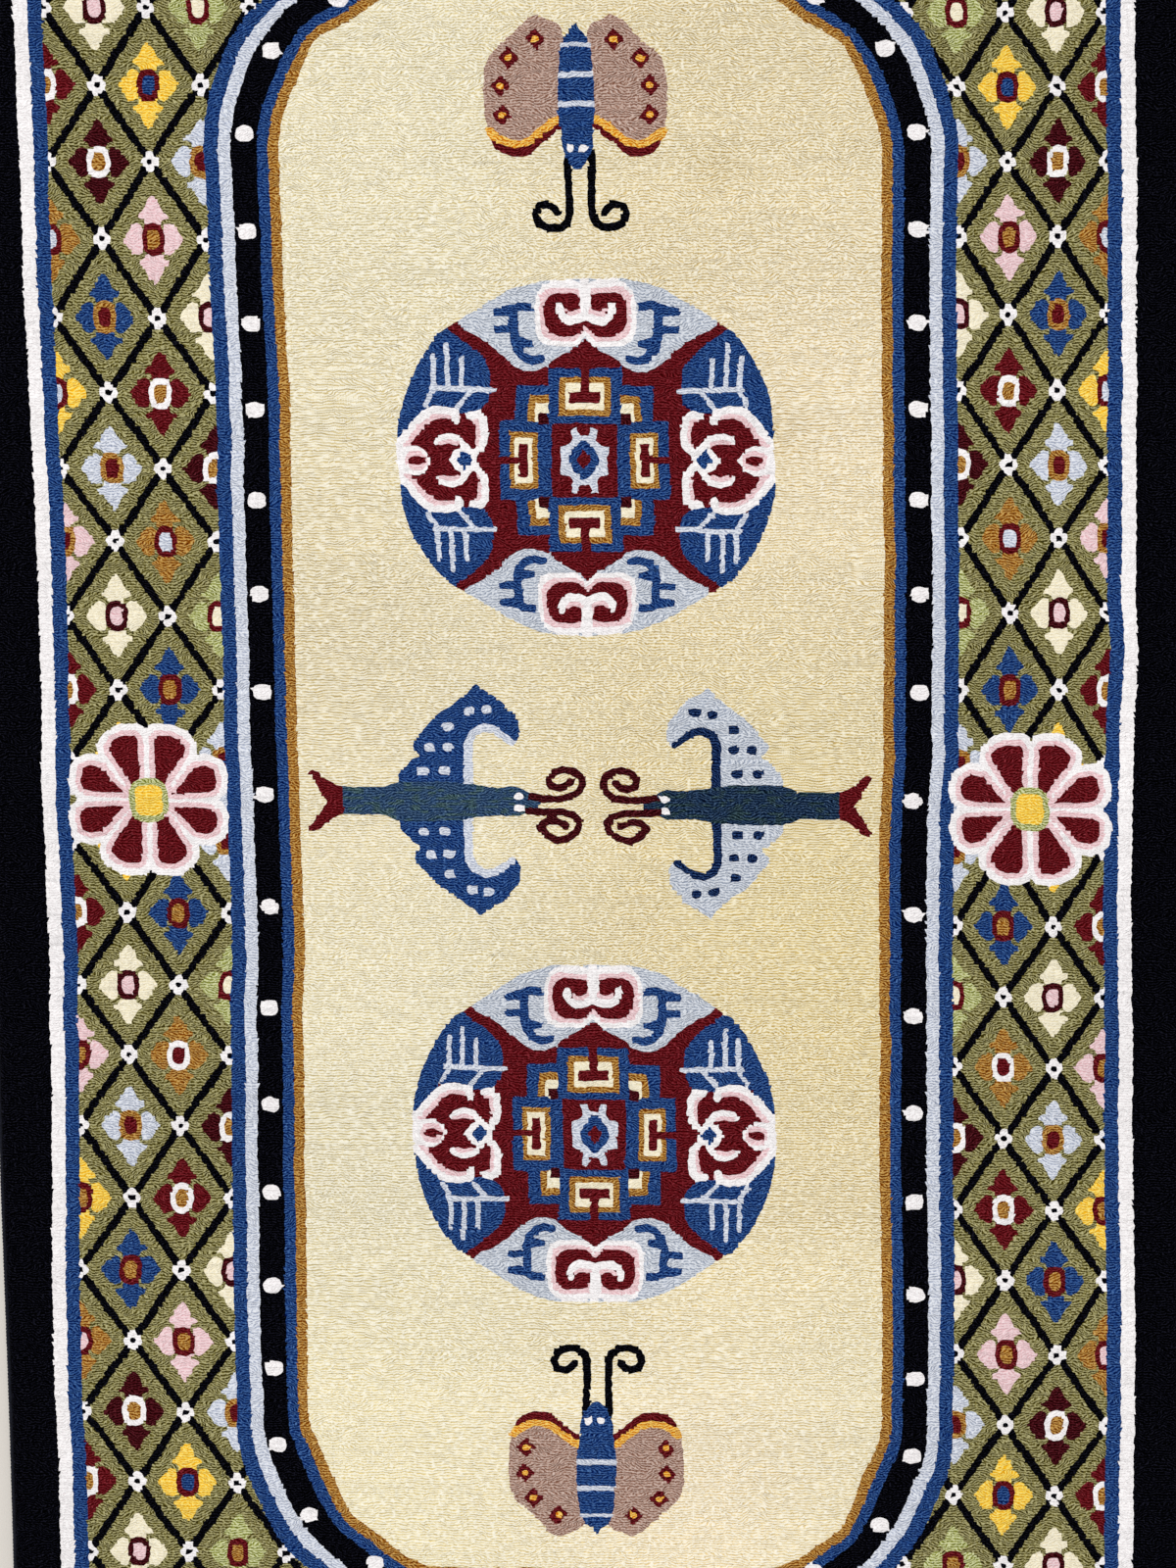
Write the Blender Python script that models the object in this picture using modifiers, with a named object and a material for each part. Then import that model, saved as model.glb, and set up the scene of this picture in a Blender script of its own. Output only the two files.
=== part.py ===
"""A hand-knotted wool rug with an overcast cord down each long side, lying flat.

Metres, +Z up, +Y along the rug. The origin is the middle of the underside, and the
underside is flat at z = 0. The foundation and its pile are one solid.
"""

import math

import bmesh
import bpy

# Driving dimensions of the whole rug
RUG_WIDTH = 0.760
RUG_LENGTH = 1.420
PILE_HEIGHT = 0.0125
PILE_RIM_RADIUS = 0.0050
PILE_HOLLOW = 0.0005
CORD_WIDTH = 0.0045
CORD_HEIGHT = 0.0064
CORD_ROUNDING = 0.0019
CORD_SHORT_OF_END = 0.0020
SEAM_GAP = 0.0003

# How finely the solids follow those shapes
RIM_STEPS = 3
CORD_ROUNDING_STEPS = 2
SPACE_ALONG = 0.040
SPACE_ACROSS = 0.050

# Each edge lies inside its straight line by the sum of its waves
EDGE_WAVES = {
    "left": (
        {"depth": 0.0024, "length": 1.90, "phase": 0.12},
        {"depth": 0.0007, "length": 0.37, "phase": 0.55},
    ),
    "right": (
        {"depth": 0.0009, "length": 1.30, "phase": 0.30},
        {"depth": 0.0006, "length": 0.43, "phase": 0.15},
    ),
    "near": (
        {"depth": 0.0022, "length": 0.95, "phase": 0.40},
        {"depth": 0.0006, "length": 0.21, "phase": 0.20},
    ),
    "far": (
        {"depth": 0.0018, "length": 0.88, "phase": 0.05},
        {"depth": 0.0007, "length": 0.24, "phase": 0.70},
    ),
}

# The pile's top dips and rises a little where it has been walked on
TREAD_WAVES = (
    {"across": 0.31, "along": 0.52, "phase": 0.2},
    {"across": 0.83, "along": 0.29, "phase": 1.9},
)

MATERIALS = {
    "wool_pile": {"colour": (0.69, 0.61, 0.43, 1.0), "roughness": 0.92, "metallic": 0.0},
    "cord_wool": {"colour": (0.010, 0.011, 0.020, 1.0), "roughness": 0.88, "metallic": 0.0},
}

FULL_TURN = 2 * math.pi


def clear_scene():
    for item in list(bpy.data.objects):
        bpy.data.objects.remove(item, do_unlink=True)


def new_collection(name):
    collection = bpy.data.collections.new(name)
    bpy.context.scene.collection.children.link(collection)
    return collection


def new_material(name):
    look = MATERIALS[name]
    material = bpy.data.materials.new(name)
    material.use_nodes = True
    shader = material.node_tree.nodes["Principled BSDF"]
    shader.inputs["Base Color"].default_value = look["colour"]
    shader.inputs["Roughness"].default_value = look["roughness"]
    shader.inputs["Metallic"].default_value = look["metallic"]
    return material


def wave_sum(place, waves):
    """How far an edge lies inside its straight line, at a place along it."""
    turns = (FULL_TURN * (place / wave["length"] + wave["phase"]) for wave in waves)
    return sum(wave["depth"] * (1 - math.cos(turn)) / 2 for wave, turn in zip(waves, turns))


def edge_inset(edge, place):
    """The edge's inset, less its least one, so that each edge reaches its full size once."""
    reach = RUG_LENGTH if edge in ("left", "right") else RUG_WIDTH
    samples = [reach * (step / 200 - 0.5) for step in range(201)]
    least = min(wave_sum(sample, EDGE_WAVES[edge]) for sample in samples)
    return wave_sum(place, EDGE_WAVES[edge]) - least


def rim_insets():
    """Distances in from the pile's edge at which its rounded rim has a row of points."""
    angles = [math.pi / 2 * step / RIM_STEPS for step in range(RIM_STEPS + 1)]
    return [PILE_RIM_RADIUS * (1 - math.cos(angle)) for angle in angles]


def rim_drop(inset):
    """How far the pile's rounded rim lies below its top, that far in from the edge."""
    within = max(0.0, PILE_RIM_RADIUS - inset)
    return PILE_RIM_RADIUS - math.sqrt(PILE_RIM_RADIUS**2 - within**2)


def row_places(size, spacing):
    """Places of the rows of points across a size: close at both rims, even between them."""
    rim = rim_insets()
    inner = size - 2 * PILE_RIM_RADIUS
    count = max(1, round(inner / spacing))
    even = [-inner / 2 + inner * step / count for step in range(1, count)]
    low = [-size / 2 + inset for inset in rim]
    high = [size / 2 - inset for inset in reversed(rim)]
    return low + even + high


def tread_drop(across, along):
    """How far the pile's top lies below its full height."""
    drop = 0.0
    for wave in TREAD_WAVES:
        turn = FULL_TURN * (across / wave["across"] + along / wave["along"]) + wave["phase"]
        drop += PILE_HOLLOW * (1 - math.cos(turn)) / (2 * len(TREAD_WAVES))
    return drop


def pile_point(across, along, size):
    """A point of the pile's top, from its place on a straight-edged rug."""
    width, length = size
    side = "left" if across < 0 else "right"
    end = "near" if along < 0 else "far"
    side_inset = edge_inset(side, along) * abs(across) / (width / 2)
    end_inset = edge_inset(end, across) * abs(along) / (length / 2)
    nearest = min(width / 2 - abs(across), length / 2 - abs(along))
    return (
        across - math.copysign(side_inset, across),
        along - math.copysign(end_inset, along),
        PILE_HEIGHT - rim_drop(nearest) - tread_drop(across, along),
    )


def add_rug(collection):
    """The carpet: a rounded pile over a flat underside."""
    width = RUG_WIDTH - 2 * (CORD_WIDTH + SEAM_GAP)
    size = (width, RUG_LENGTH)
    columns = row_places(width, SPACE_ACROSS)
    rows = row_places(RUG_LENGTH, SPACE_ALONG)
    bpy.ops.mesh.primitive_grid_add(x_subdivisions=len(columns) - 1, y_subdivisions=len(rows) - 1, size=2)
    rug = bpy.context.object
    shape = bmesh.new()
    shape.from_mesh(rug.data)
    for vertex in shape.verts:
        column = round((vertex.co.x + 1) / 2 * (len(columns) - 1))
        row = round((vertex.co.y + 1) / 2 * (len(rows) - 1))
        vertex.co = pile_point(columns[column], rows[row], size)
    outline = [edge for edge in shape.edges if edge.is_boundary]
    skirt = bmesh.ops.extrude_edge_only(shape, edges=outline)["geom"]
    for vertex in (item for item in skirt if isinstance(item, bmesh.types.BMVert)):
        vertex.co.z = 0.0
    underside = [edge for edge in shape.edges if edge.is_boundary]
    bmesh.ops.contextual_create(shape, geom=underside)
    bmesh.ops.triangulate(shape, faces=shape.faces)
    bmesh.ops.recalc_face_normals(shape, faces=shape.faces)
    shape.to_mesh(rug.data)
    shape.free()
    finish_object(rug, "rug", collection, "wool_pile")


def add_cord(side, collection):
    """The overcast cord down one long side: a rounded bar that keeps to the pile's edge."""
    sign = -1 if side == "left" else 1
    length = RUG_LENGTH - 2 * CORD_SHORT_OF_END
    bpy.ops.mesh.primitive_cube_add(size=1)
    cord = bpy.context.object
    shape = bmesh.new()
    shape.from_mesh(cord.data)
    bmesh.ops.scale(shape, vec=(CORD_WIDTH, length, CORD_HEIGHT), verts=shape.verts)
    count = round(length / SPACE_ALONG)
    for step in range(1, count):
        cut = (0, -length / 2 + length * step / count, 0)
        everything = shape.verts[:] + shape.edges[:] + shape.faces[:]
        bmesh.ops.bisect_plane(shape, geom=everything, plane_co=cut, plane_no=(0, 1, 0))
    middle = (RUG_WIDTH - CORD_WIDTH) / 2
    for vertex in shape.verts:
        vertex.co.x += sign * (middle - edge_inset(side, vertex.co.y))
        vertex.co.z += CORD_HEIGHT / 2
    shape.to_mesh(cord.data)
    shape.free()
    bevel = cord.modifiers.new("Rounding", "BEVEL")
    bevel.width = CORD_ROUNDING
    bevel.segments = CORD_ROUNDING_STEPS
    bevel.limit_method = "ANGLE"
    finish_object(cord, f"selvedge_{side}", collection, "cord_wool")


def finish_object(item, name, collection, material_name):
    """Names a piece, gives it its material and smooth shading, and puts it in the rug's collection."""
    item.name = name
    item.data.name = name
    item.data.materials.clear()
    item.data.materials.append(bpy.data.materials.get(material_name) or new_material(material_name))
    item.data.shade_smooth()
    item.data.set_sharp_from_angle(angle=math.radians(40))
    for holder in list(item.users_collection):
        holder.objects.unlink(item)
    collection.objects.link(item)


def main():
    clear_scene()
    collection = new_collection("deco_rug")
    add_rug(collection)
    for side in ("left", "right"):
        add_cord(side, collection)


main()
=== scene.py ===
"""The looks of a hand-knotted wool rug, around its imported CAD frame.

Metres in the model, millimetres in the design chart. +Z up, +Y along the rug.
"""

import math

import bpy
import numpy as np
from mathutils import Matrix, Vector


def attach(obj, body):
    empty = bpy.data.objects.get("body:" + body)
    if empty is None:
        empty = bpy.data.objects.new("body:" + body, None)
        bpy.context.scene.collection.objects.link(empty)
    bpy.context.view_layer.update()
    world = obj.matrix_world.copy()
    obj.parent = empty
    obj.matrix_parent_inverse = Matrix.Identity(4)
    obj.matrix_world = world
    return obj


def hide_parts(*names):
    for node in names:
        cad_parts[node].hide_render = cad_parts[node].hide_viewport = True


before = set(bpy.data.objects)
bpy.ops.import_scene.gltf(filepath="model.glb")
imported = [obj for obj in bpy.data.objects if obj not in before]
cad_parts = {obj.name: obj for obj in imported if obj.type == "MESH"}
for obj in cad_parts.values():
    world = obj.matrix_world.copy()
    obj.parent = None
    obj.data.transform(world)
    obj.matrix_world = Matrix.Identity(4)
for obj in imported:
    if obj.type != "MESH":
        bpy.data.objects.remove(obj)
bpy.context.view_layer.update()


# screen colour of each yarn, and how strongly the pile's painted shade in its creases and painted highlights
# on its strands show
YARN_LOOKS = {
    "cream": ((235, 227, 201), 1.60),
    "white": ((243, 239, 239), 0.72),
    "pale": ((209, 213, 223), 1.38),
    "blue": ((32, 64, 120), 0.78),
    "ink": ((17, 37, 78), 0.86),
    "black": ((2, 2, 5), 0.95),
    "gold": ((169, 120, 49), 1.26),
    "wine": ((61, 12, 18), 0.52),
    "crimson": ((94, 18, 24), 0.54),
    "olive": ((136, 129, 79), 1.55),
    "yellow": ((243, 206, 84), 1.04),
    "pink": ((232, 201, 204), 0.58),
    "moss": ((184, 187, 127), 1.70),
    "mauve": ((176, 146, 132), 1.02),
    "teal": ((47, 72, 104), 0.60),
    "deep": ((30, 50, 77), 0.64),
    "bone": ((240, 231, 205), 0.48),
    "ash": ((198, 203, 212), 1.30),
    "amber": ((232, 179, 72), 1.50),
}
# the field's faint stains, then its broad warmer and paler places: middle, reach, and tint in linear light
FIELD_TINTS = (
    ((116, 225), 13, (0.93, 0.90, 0.84)),
    ((89, 389), 10, (0.95, 0.93, 0.88)),
    ((-170, 120), 110, (0.955, 0.93, 0.895)),
    ((155, 240), 80, (1.05, 1.052, 1.11)),
    ((175, -110), 90, (1, 0.98, 0.88)),
    ((100, 0), 80, (0.98, 0.98, 0.95)),
    ((60, -450), 70, (1.045, 1.025, 1.067)),
)

# how much redder, greener and bluer than its yarn a place is, in linear light
WARM, LIGHT, FLECK = (0.965, 0.925, 0.855), (1.04, 1.035, 1.01), (1.55, 1.35, 0.72)

YARN = {name: place for place, name in enumerate(YARN_LOOKS)}


def grown(place, start, reach):
    """0 up to the start, 1 from so far beyond it, and even between the two."""
    return np.clip((place - start) / reach, 0, 1)


class Chart:
    """Points in the axes of one motif, and the yarn painted at each of them so far."""

    def __init__(self, x, y, yarn, index=None):
        self.x, self.y, self.yarn = x, y, yarn
        self.index = np.arange(len(x)) if index is None else index

    def keep(self, inside):
        return Chart(self.x[inside], self.y[inside], self.yarn, self.index[inside])

    def motif(self, centre, reach, scale=(1, 1), fold=""):
        """The points near a motif, from its centre; folded over where its halves mirror."""
        x = (self.x - centre[0]) / scale[0]
        y = (self.y - centre[1]) / scale[1]
        near = (np.abs(x) < reach[0]) & (np.abs(y) < reach[1])
        x, y = x[near], y[near]
        if "x" in fold:
            x = np.abs(x)
        if "y" in fold:
            y = np.abs(y)
        return Chart(x, y, self.yarn, self.index[near])

    def set(self, inside, name):
        self.yarn[self.index[inside]] = YARN[name]

    def box(self, low_x, high_x, low_y, high_y, name):
        self.set((self.x > low_x) & (self.x < high_x) & (self.y > low_y) & (self.y < high_y), name)

    def oval(self, x, y, half_x, half_y, name, power=2):
        across = np.abs(self.x - x) / half_x
        along = np.abs(self.y - y) / half_y
        self.set(across ** power + along ** power < 1, name)

    def near(self, points, margin):
        xs, ys = zip(*points)
        return np.flatnonzero((self.x > min(xs) - margin) & (self.x < max(xs) + margin)
                              & (self.y > min(ys) - margin) & (self.y < max(ys) + margin))

    def line(self, points, width, name):
        """A stroke of even width through the points, or tapered between two widths."""
        first, last = width if isinstance(width, tuple) else (width, width)
        some = self.near(points, max(first, last))
        x, y = self.x[some], self.y[some]
        inside = np.zeros(len(some), bool)
        runs = len(points) - 1
        for run, (start, end) in enumerate(zip(points, points[1:])):
            step = (end[0] - start[0], end[1] - start[1])
            share = ((x - start[0]) * step[0] + (y - start[1]) * step[1]) / (step[0] ** 2 + step[1] ** 2)
            share = np.clip(share, 0, 1)
            away = np.hypot(x - start[0] - share * step[0], y - start[1] - share * step[1])
            inside |= away < (first + (last - first) * (run + share) / runs) / 2
        self.set(some[inside], name)

    def patch(self, points, name, grow=0):
        """A filled outline, and the points within a distance of it."""
        some = self.near(points, grow)
        x, y = self.x[some], self.y[some]
        inside = np.zeros(len(some), bool)
        for start, end in zip(points, points[1:] + points[:1]):
            if start[1] != end[1]:
                crossing = (start[1] > y) != (end[1] > y)
                reach = start[0] + (y - start[1]) * (end[0] - start[0]) / (end[1] - start[1])
                inside ^= crossing & (x < reach)
        self.set(some[inside], name)
        if grow:
            self.line(points + points[:1], 2 * grow, name)


# Borders. Each band's yarn runs from its start, across the rug, outwards.
FIELD_EDGE, LATTICE_FROM = 186.8, 233.7
INNER_BANDS = ((FIELD_EDGE, "gold"), (193.5, "blue"), (200.6, "black"), (216.9, "pale"), (224.8, "blue"))
OUTER_BANDS = ((331.5, "blue"), (340.6, "white"), (349.5, "black"))
# at the ends: start along the rug, and start across it at the mitred corner
END_BANDS = ((664, 331.5, "blue"), (672.5, 339.8, "white"), (682, 349.5, "black"))
# all of the borders lies outside this much of the field
ALL_FIELD = (160, 440)
# the field's rounded corners turn about this point
CORNER = (110, 400)
# at each side and end: turn round the corner in degrees, reach of the field, reach of the inner bands
CORNER_REACH = {
    (-1, 1): (
        (0, 77, 123.7), (8, 77.8, 125.2), (15, 78.2, 126.6), (29, 80.2, 128.4), (36, 81.4, 131),
        (48, 87.8, 131.5), (54, 92.3, 131.5), (60, 93, 132.5), (66, 92.8, 134), (72, 94, 139), (78, 97, 145),
        (90, 106, 151.5)),
    (1, 1): (
        (0, 76.5, 123.7), (8, 77.5, 125), (22, 78, 126.6), (29, 78.6, 128.4), (36, 81, 131.4),
        (48, 86.4, 132.5), (54, 90.8, 132), (60, 91.3, 133.5), (66, 92.2, 136), (72, 92.8, 140),
        (78, 97.8, 146), (90, 106, 151.5)),
    (-1, -1): (
        (0, 76.8, 123.7), (8, 75.4, 125), (15, 72.8, 124.8), (22, 72, 124), (29, 73, 124.8),
        (36, 74.2, 127.2), (48, 79.4, 129.3), (54, 83, 129.5), (60, 83.2, 131.5), (66, 84.8, 136),
        (72, 88, 140), (90, 101.5, 149.5)),
    (1, -1): (
        (0, 77, 123.7), (8, 77, 124.2), (15, 76.2, 125), (22, 75, 124.4), (29, 74.8, 125.8),
        (36, 77.2, 128.2), (48, 84, 131), (54, 89, 131.2), (60, 89.3, 133.5), (66, 90.6, 137),
        (72, 94.4, 141), (90, 101.5, 149.5)),
}
# the lattice: its columns are a little wider apart beyond the side borders, at the rug's ends
COLUMN_FIRST, COLUMN_PITCH = 234.3, 32.25
END_COLUMNS_FROM, END_COLUMN_PITCH = 202, 33.67
ROW_FIRST, ROW_PITCH = 72.4, 46.92
LINE_WIDTH = 4.9
COLUMNS, ROWS = range(-7, 4), range(-1, 14)
# white dots of the black band, from the middle of a side to the middle of each end
DOT_SIZE = {"half_x": 5.9, "half_y": 5, "power": 2.4}
DOTS = {
    1: (
        (209, 71), (209, 133), (209, 192), (209, 248.5), (209, 302.5), (209, 360), (208.5, 420),
        (189.5, 471), (147, 503), (92, 522), (31, 528)),
    -1: (
        (208.6, 68.5), (208.6, 134.3), (208.6, 197), (208.6, 255), (208.6, 316), (208.6, 371), (207.2, 422),
        (187, 468.6), (144, 500), (90, 518), (30, 524)),
}
DOT_SHIFT = {(-1, 1): -1.2, (1, 1): 0.4, (-1, -1): -0.6, (1, -1): 1.2}
# yarns of the petals, ring and centre of each column's flowers, from the middle of the rug outwards
FLOWERS = {
    3: ("crimson white gold", "pink gold crimson", "yellow crimson pale", "gold crimson pale",
        "crimson white gold", "blue gold crimson"),
    2: ("yellow blue crimson", "bone wine pink", "pale gold crimson", "blue gold crimson", "wine white gold",
        "bone wine pink", "gold blue crimson"),
    1: ("blue crimson gold", "gold crimson pale", "crimson white gold", "pink crimson gold",
        "yellow crimson blue", "crimson white gold"),
    0: ("pale gold crimson", "moss crimson bone", "wine white gold", "bone wine pink", "pale gold crimson",
        "moss crimson bone", "yellow wine blue"),
}
# those of the lower half that differ, by column and row
LOWER_FLOWERS = {
    (0, 9): "moss crimson gold", (1, 2): "gold white crimson", (2, 5): "blue crimson gold",
    (3, 2): "pink crimson gold", (3, 4): "yellow crimson gold", (3, 6): "gold crimson pink",
}
END_FLOWERS = ("pink crimson gold", "blue gold crimson", "bone wine pink", "gold crimson pale",
               "crimson white gold", "yellow wine blue")


def band_place(x, y, side, end):
    """How far out a point lies, measured along the side borders, round the field's curved corners."""
    turns, field, lattice = np.array(CORNER_REACH[side, end]).T
    out_x = np.maximum(x - CORNER[0], 0)
    out_y = np.maximum(y - CORNER[1], 0)
    turn = np.degrees(np.arctan2(out_y, out_x))
    far = np.hypot(out_x, out_y)
    inner = np.interp(turn, turns, field)
    outer = np.interp(turn, turns, lattice)
    return FIELD_EDGE + (far - inner) / (outer - inner) * (LATTICE_FROM - FIELD_EDGE)


def paint_borders(chart, strayed, side, end):
    """The border bands and the lattice between them, with its flowers; x and y are both folded."""
    outer = (chart.x > ALL_FIELD[0]) | (chart.y > ALL_FIELD[1])
    chart, strayed = chart.keep(outer), strayed.keep(outer)
    x, y = chart.x, chart.y
    place = band_place(x, y, side, end)
    for start, name in INNER_BANDS:
        chart.set(place > start, name)
    lattice = strayed.keep(place > LATTICE_FROM)
    if len(lattice.x):
        paint_lattice(lattice, end)
    for start, name in OUTER_BANDS:
        chart.set(x > start, name)
    for start, mitre, name in END_BANDS:
        chart.set((y > start) & (y - start > x - mitre), name)
    for at_x, at_y in DOTS[end]:
        chart.oval(at_x, at_y + DOT_SHIFT[side, end], name="white", **DOT_SIZE)


def paint_lattice(chart, end):
    wide = chart.x > END_COLUMNS_FROM
    column = np.where(wide, (chart.x - COLUMN_FIRST) / COLUMN_PITCH,
                      -1 - (END_COLUMNS_FROM - chart.x) / END_COLUMN_PITCH)
    row = (chart.y - ROW_FIRST) / ROW_PITCH
    chart.set(np.ones(len(column), bool), "olive")
    slant = COLUMN_PITCH * ROW_PITCH / np.hypot(COLUMN_PITCH, ROW_PITCH)
    for cross in (column - row, column + row):
        away = np.abs(cross - 2 * np.round(cross / 2)) * slant
        chart.set(away < LINE_WIDTH / 2, "black")
    for at_column in COLUMNS:
        at_x = COLUMN_FIRST + at_column * COLUMN_PITCH
        if at_column < -1:
            at_x = END_COLUMNS_FROM + (at_column + 1) * END_COLUMN_PITCH
        for at_row in ROWS:
            at_y = ROW_FIRST + at_row * ROW_PITCH
            if (at_column + at_row) % 2 == 0:
                paint_node(chart.motif((at_x, at_y), (9, 9), fold="xy"))
            else:
                yarns = flower_yarns(at_column, at_row, end)
                paint_flower(chart.motif((at_x, at_y), (24, 30), fold="xy"), *yarns.split())


def flower_yarns(column, row, end):
    if end < 0 and (column, row) in LOWER_FLOWERS:
        return LOWER_FLOWERS[column, row]
    known = FLOWERS.get(column, ())
    place = (row + 1) // 2
    if place < len(known):
        return known[place]
    return END_FLOWERS[((column - row) // 2 * 5 + row * 2) % len(END_FLOWERS)]


def paint_node(chart):
    chart.oval(3, 0, 2.8, 3.1, "white")
    chart.oval(0, 3.6, 2.8, 3.1, "white")
    chart.oval(0, 0, 3.9, 4.2, "white")
    chart.oval(0, 0, 2.1, 1.8, "black")


def paint_flower(chart, petal, ring, centre):
    chart.patch([
        (0, 9), (5.2, 9), (5.6, 11.6), (9.8, 13.2), (9, 15.2), (5.8, 17.4), (4.4, 20.5), (2.7, 23.8),
        (0, 26.8)], petal)
    chart.patch([(6, 0), (7, 8.5), (10, 9.8), (13, 8.2), (15.8, 4.6), (19.2, 0)], petal)
    chart.oval(0, 0, 7.2, 9.9, ring, power=2.4)
    chart.oval(0, 0, 4, 5.9, centre, power=2.7)


# Motifs, in millimetres from their own middles
def paint_rosette(chart):
    petals = (
        [(5, 38), (7, 41), (16, 41), (21, 38.5), (25, 34), (24.5, 30.5), (18, 21), (10, 9), (5, 9)],
        [(15, 4.2), (18, 6.5), (30, 20.5), (37.5, 22), (42.5, 19.5), (44, 12), (43, 8), (40, 5.5),
         (30, 4.5)],
    )
    for grow, name in ((7.6, "white"), (3.3, "pink"), (0, "crimson")):
        for petal in petals:
            chart.patch(petal, name, grow)
    chart.oval(0, 0, 12.4, 14, "moss", power=2.6)
    chart.oval(0, 0, 8.7, 9.6, "yellow", power=4)


MEDALLION_EDGE = [
    (0, 111.5), (25, 111), (37, 108), (47, 104.5), (57, 98), (66, 92), (75, 86), (83, 80.5), (89, 77),
    (96, 69), (102, 60), (107, 50), (112, 38), (115, 25), (116.5, 15), (117, 0), (0, 0)]
PALE_LOBE = [
    (0, 113), (0, 75), (4.5, 71), (10, 67.5), (16, 64.5), (21, 61.5), (25, 57.5), (31, 55.2), (38.5, 55.3),
    (44, 57.5), (48, 60.5), (54, 66.5), (60, 71.5), (66, 75.5), (72, 78), (76, 80.5), (79, 84), (50, 113)]
BLUE_LOBE = [
    (84.5, 80), (79, 75.5), (72.5, 71), (66.5, 66), (61.5, 60.5), (59, 55.5), (58.5, 48), (58.6, 41),
    (60, 36), (64, 31.5), (70, 29.5), (80, 29), (95, 30), (106, 23), (113, 14), (117, 9), (125, 9),
    (125, 60), (100, 90), (88, 84)]
# bars of the stepped cross: low and high x, low and high y, yarn
CROSS = (
    (-1, 23.2, -1, 57, "blue"), (-1, 43, -1, 46.4, "blue"), (-1, 53, -1, 24.4, "blue"),
    (-1, 20.3, -1, 23, "crimson"), (-1, 16.4, 27.7, 51.6, "gold"), (-1, 12.2, 31.5, 47.8, "bone"),
    (-1, 9.8, 35.5, 42.2, "crimson"), (-1, 2.7, 36, 62, "crimson"), (28.7, 46.6, -1, 17.4, "gold"),
    (32.2, 43.6, -1, 14, "bone"), (35.2, 40.8, -1, 10.4, "crimson"), (36, 66, -1, 2.1, "crimson"),
)


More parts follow.
